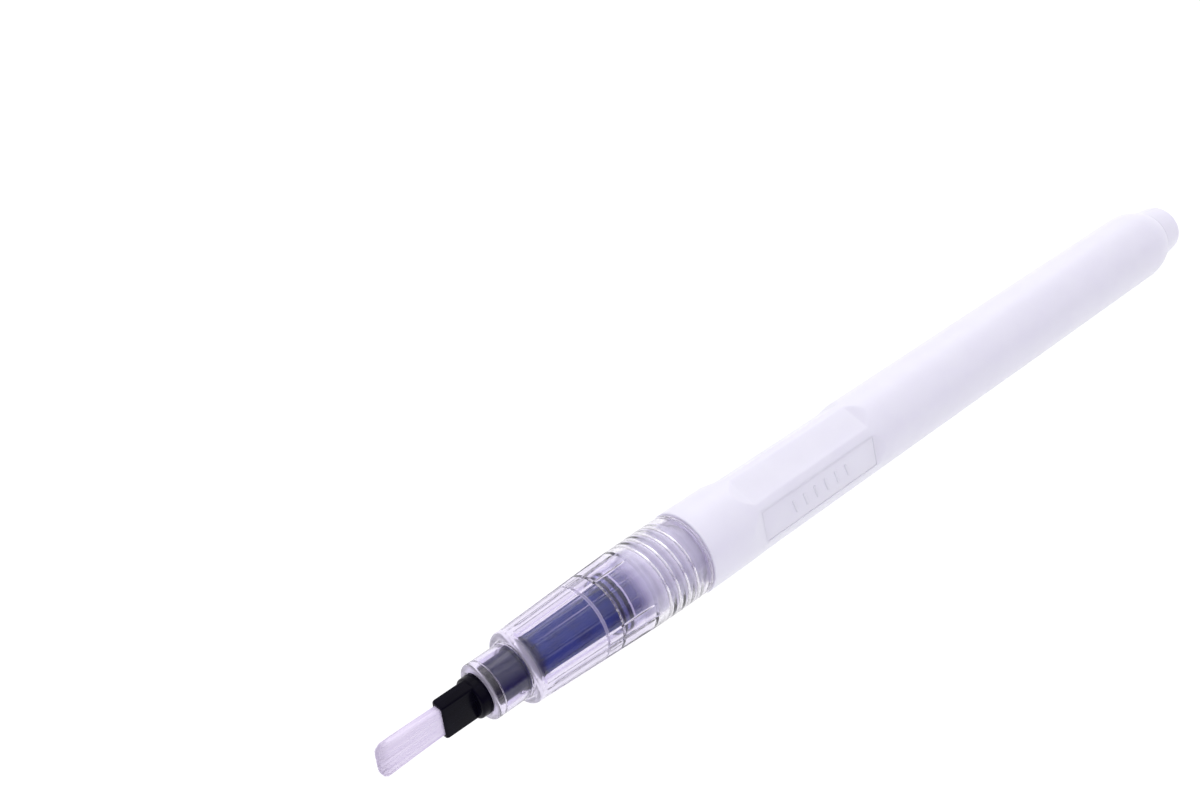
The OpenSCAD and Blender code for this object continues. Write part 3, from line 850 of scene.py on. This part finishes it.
feedPoints = outline([
    (feed["start"], feed["socket"], 0.05), (feed["start"], feed["front"], 0.1),
    (feed["collarStart"], feed["front"], 0.1), (feed["collarStart"], feed["collar"], 0.12),
    (feed["collarEnd"], feed["collar"], 0.15), (feed["collarEnd"] + 0.4, feed["radius"], 0.1),
    (feed["end"], feed["radius"], 0.12), (feed["end"], feed["plugBore"], 0.05),
    (feed["plugSeat"], feed["plugBore"]), (feed["plugSeat"], feed["bore"]),
    (feed["socketEnd"], feed["bore"]), (feed["socketEnd"], feed["socket"])], 5)
feedTube = lathe("feedTube", refine(feedPoints, 20.4, 43.2, 0.5, minRadius=2.45), 300)
runTree(feedTube, grooves, materials["navy"], {
    "Count": feed["grooves"], "Depth": 0.4 * mm, "Width": 0.008, "Edge": 0.012, "Start": 20.6 * mm,
    "End": 44.0 * mm, "Fade": 0.3 * mm, "Skin Radius": 2.3 * mm})
smoothShade(feedTube, 35)
place(feedTube, "front", "navy_feed", "feed_tube")
print("feed tube done")


# --- ferrule: a flat mouth blended into a round collar and stem

ferrule = {"width": 4.7, "thickness": 1.9, "corner": 0.32, "chamfer": 0.16, "collar": 2.48, "collarStart": 12.3,
           "collarEnd": 14.98, "stem": 1.88, "turn": -7}
tuft = {"rootWidth": 3.6, "rootThickness": 1.2, "tipWidth": 4.5, "tipThickness": 0.8, "count": 2300,
        "filament": 0.052, "droop": 0.3, "cornerCut": 0.09, "raggedness": 0.02}
brushMatrix = (Matrix.Translation((tipX, 0, axisZ)) @ Matrix.Rotation(math.radians(ferrule["turn"]), 4, "X"))


def flatRing(build, x, width, thickness, corner, steps=8):
    # a rounded rectangle across the pen: width is up and down, thickness is side to side
    corner = min(corner, thickness / 2 - 0.001, width / 2 - 0.001)
    ring = []
    for quarter in range(4):
        angle = math.pi / 2 * quarter
        sideY = 1 if quarter in (0, 3) else -1
        sideZ = 1 if quarter in (0, 1) else -1
        centreY = sideY * (thickness / 2 - corner)
        centreZ = sideZ * (width / 2 - corner)
        for k in range(steps + 1):
            turn = angle + math.pi / 2 * k / steps
            point = Vector((x, centreY + corner * math.cos(turn), centreZ + corner * math.sin(turn)))
            ring.append(build.verts.new(brushMatrix @ (point * mm)))
    return ring


def makeMouth():
    build = bmesh.new()
    w, t, chamfer = ferrule["width"], ferrule["thickness"], ferrule["chamfer"]
    openW, openT = tuft["rootWidth"] + 0.08, tuft["rootThickness"] + 0.08
    sections = [
        (13.4, w, t, 0.3), (mouthX + chamfer * 2, w, t, ferrule["corner"]),
        (mouthX + chamfer, w - 0.07, t - 0.07, 0.3),
        (mouthX + chamfer * 0.3, w - 0.2, t - 0.2, 0.26), (mouthX, w - 0.34, t - 0.34, 0.22),
        (mouthX, openW + 0.12, openT + 0.12, 0.2), (mouthX + 0.05, openW + 0.03, openT + 0.03, 0.18),
        (mouthX + 0.2, openW, openT, 0.16), (13.2, openW, openT, 0.16)]
    rings = [flatRing(build, *section) for section in sections]
    bridgeRings(build, rings, closed=False)
    build.faces.new(rings[0])
    build.faces.new(rings[-1])
    bmesh.ops.recalc_face_normals(build, faces=build.faces)
    return meshObject("ferruleMouth", build)


mouth = makeMouth()
dress(mouth, materials["black"])
smoothShade(mouth, 40)
collar = lathe("ferruleCollar", outline([
    (13.35, 0), (13.35, 0.5), (ferrule["collarStart"], 0.8, 0.1),
    (ferrule["collarStart"], ferrule["collar"], 0.34),
    (ferrule["collarEnd"], ferrule["collar"], 0.1), (ferrule["collarEnd"], ferrule["stem"], 0.1),
    (stemEndX, ferrule["stem"], 0.2), (stemEndX, 0)], 6), 160)
dress(collar, materials["black"])
smoothShade(collar, 40)
place(mouth, "front", "black_ferrule", "ferrule")
place(collar, "front", "black_ferrule", "ferrule")
print("ferrule done")


# --- tuft: separate filaments round a solid heart

def bristleTree():
    group, nodes, entry = newTree("flatBristles", {
        "Count": 900, "Width": 3.6 * mm, "Thickness": 1.2 * mm, "Length": 8.0 * mm, "Tip Width": 4.2 * mm,
        "Tip Thickness": 0.8 * mm, "Filament": 0.04 * mm, "Corner Cut": 0.1, "Raggedness": 0.05, "Seed": 4})
    seed = entry.out("Seed")

    def dice(low, high, extra):
        settings = {"data_type": "FLOAT"}
        made = nodes.node("FunctionNodeRandomValue", settings, {2: low, 3: high, "Seed": seed + extra})
        return made.out(1)

    # across is -1 to 1 over the width, through is -1 to 1 over the thickness
    across, through = dice(-1.0, 1.0, 1), dice(-1.0, 1.0, 2)
    start = nodes.node("ShaderNodeCombineXYZ", None, {
        1: through * entry.out("Thickness") * 0.5, 2: across * entry.out("Width") * 0.5})
    roots = nodes.node("GeometryNodePoints", None, {"Count": entry.out("Count"), "Position": start})
    line = nodes.node("GeometryNodeCurvePrimitiveLine", None, {"End": (-1, 0, 0)})
    line = nodes.node("GeometryNodeResampleCurve", None, {"Curve": line, "Count": 7})
    reach = nodes.node("GeometryNodeSplineParameter").out("Factor")
    taper = nodes.spread(reach, 0.75, 1.0, 1.0, 0.35)
    line = nodes.node("GeometryNodeSetCurveRadius", None, {"Curve": line, "Radius": taper})
    section = nodes.node("GeometryNodeCurvePrimitiveCircle", None,
                         {"Resolution": 4, "Radius": entry.out("Filament")})
    hair = nodes.node("GeometryNodeCurveToMesh", None,
                      {"Curve": line, "Profile Curve": section, "Scale": taper, "Fill Caps": True})
    edge = nodes.math("POWER", nodes.math("ABSOLUTE", across), 6.0)
    short = edge * entry.out("Corner Cut")
    ragged = dice(0.0, 1.0, 3) * entry.out("Raggedness")
    length = entry.out("Length") * (1 - short - ragged)
    flare = across * (entry.out("Tip Width") - entry.out("Width")) * 0.5 / entry.out("Length")
    pinch = through * (entry.out("Tip Thickness") - entry.out("Thickness")) * 0.5 / entry.out("Length")
    turn = nodes.node("ShaderNodeCombineXYZ", None, {
        1: flare + dice(-0.008, 0.008, 4), 2: pinch * -1.0 + dice(-0.008, 0.008, 5)})
    size = nodes.node("ShaderNodeCombineXYZ", None, {0: length, 1: 1.0, 2: 1.0})
    sockets = {"Points": roots, "Instance": hair, "Rotation": turn, "Scale": size}
    closeTree(nodes, entry, nodes.node("GeometryNodeInstanceOnPoints", None, sockets))
    return group


def droop(piece):
    # the free end hangs a little
    for vertex in piece.data.vertices:
        free = max(mouthX - (vertex.co.x - tipX) / mm, 0) / mouthX
        vertex.co.z -= tuft["droop"] * mm * free * free


bristles = meshObject("tuftBristles", bmesh.new())
runTree(bristles, bristleTree(), materials["nylon"], {
    "Count": tuft["count"], "Width": (tuft["rootWidth"] - 0.1) * mm,
    "Thickness": (tuft["rootThickness"] - 0.1) * mm,
    "Length": (mouthX + 0.4) * mm, "Tip Width": (tuft["tipWidth"] - 0.1) * mm,
    "Tip Thickness": (tuft["tipThickness"] - 0.05) * mm, "Filament": tuft["filament"] * mm,
    "Corner Cut": tuft["cornerCut"], "Raggedness": tuft["raggedness"], "Seed": 4})
bristles.data.transform(brushMatrix @ Matrix.Translation(((mouthX + 0.45) * mm, 0, 0)))
droop(bristles)
smoothShade(bristles, 80)
place(bristles, "front", "bristle", "tuft")


def makeHeart():
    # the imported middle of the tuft, just inside its outer filaments
    build = bmesh.new()
    rings = []
    steps = 14
    for i in range(steps + 1):
        share = i / steps
        x = 12.8 + (0.75 - 12.8) * share
        spread = min(max((mouthX - x) / mouthX, 0), 1)
        width = tuft["rootWidth"] + (tuft["tipWidth"] - tuft["rootWidth"]) * spread - 0.06
        thickness = tuft["rootThickness"] + (tuft["tipThickness"] - tuft["rootThickness"]) * spread - 0.05
        if x < 1.8:
            width -= 0.9 * ((1.8 - x) / 1.8) ** 2
            thickness -= 0.3 * ((1.8 - x) / 1.8) ** 2
        rings.append(flatRing(build, x, width, thickness, 0.28))
    bridgeRings(build, rings, closed=False)
    build.faces.new(rings[0])
    build.faces.new(rings[-1])
    bmesh.ops.recalc_face_normals(build, faces=build.faces)
    return meshObject("tuftHeart", build)


heart = makeHeart()
droop(heart)
dress(heart, materials["nylon"])
smoothShade(heart, 60)
place(heart, "front", "bristle", "tuft")
print("tuft:", len(bristles.data.polygons), "faces")


# --- inner pieces kept from the frame

keptNodes = {"neck_stopper": "white", "felt_pad": "felt", "tuft_bond": "nylon", "fibre_wick": "felt",
             "flow_plug": "white"}
for node, finish in keptNodes.items():
    dress(cadNodes[node], materials[finish])
print("inner pieces dressed")


# --- table, light and camera

stage = {"floor": 3.0, "bright": (1.02, 1.0, 1.06, 1), "dim": (0.22, 0.17, 0.34, 1),
         "backdrop": (1.0, 1.0, 1.0, 1), "towards": (0.53, 0.46, 0.71)}
lights = [
    # name, place from the pen's middle, width, height, power, colour, seen in reflections
    ("rearSoftbox", (0.30, 0.26, 0.40), 0.34, 0.50, 0.55, (1.0, 0.99, 1.0), True),
    ("topSoftbox", (-0.10, -0.05, 0.60), 0.50, 0.50, 0.3, (0.97, 0.97, 1.0), True),
    ("frontFill", (-0.42, -0.38, 0.38), 0.60, 0.60, 1.0, (0.97, 0.96, 1.0), False),
]
view = {"lens": 43.5, "sensor": 36.0, "place": (-0.1254, -0.0855, 0.1291), "aim": (-0.0189, 0.0288, 0.0055)}


def faceTowards(thing, spot, aim):
    thing.location = spot
    thing.rotation_euler = (Vector(aim) - Vector(spot)).to_track_quat("-Z", "Y").to_euler()


def makeFloor():
    build = bmesh.new()
    bmesh.ops.create_grid(build, x_segments=4, y_segments=4, size=stage["floor"] / 2)
    floor = meshObject("tableTop", build)
    dress(floor, tableTop("paleTable"))


def makeLights():
    for name, spot, width, height, power, colour, reflected in lights:
        data = bpy.data.lights.new(name, "AREA")
        data.shape = "RECTANGLE"
        data.size = width
        data.size_y = height
        data.energy = power
        data.color = colour
        lamp = bpy.data.objects.new(name, data)
        lamp.visible_glossy = reflected
        bpy.context.scene.collection.objects.link(lamp)
        faceTowards(lamp, spot, (0, 0, axisZ))
    # the room is bright behind the pen and dim in front of it
    world = bpy.data.worlds.new("softRoom")
    world.use_nodes = True
    world.node_tree.nodes.clear()
    nodes = Nodes(world.node_tree)
    way = nodes.node("ShaderNodeTexCoord").out("Generated")
    lean = nodes.node("ShaderNodeVectorMath", {"operation": "DOT_PRODUCT"}, {0: way, 1: stage["towards"]})
    share = nodes.spread(lean.out("Value"), -0.25, 0.55)
    room = nodes.mixColour(share, stage["dim"], stage["bright"])
    seen = nodes.node("ShaderNodeLightPath").out("Is Camera Ray")
    glow = nodes.node("ShaderNodeBackground", None, {
        "Color": nodes.mixColour(seen, room, stage["backdrop"])})
    nodes.node("ShaderNodeOutputWorld", None, {0: glow})
    bpy.context.scene.world = world


def makeCamera():
    data = bpy.data.cameras.new("studioCamera")
    data.lens = view["lens"]
    data.sensor_width = view["sensor"]
    data.clip_start = 0.005
    camera = bpy.data.objects.new("studioCamera", data)
    bpy.context.scene.collection.objects.link(camera)
    faceTowards(camera, view["place"], view["aim"])
    bpy.context.scene.camera = camera


makeFloor()
makeLights()
makeCamera()
bpy.context.scene.view_settings.view_transform = "Standard"
print("stage ready")
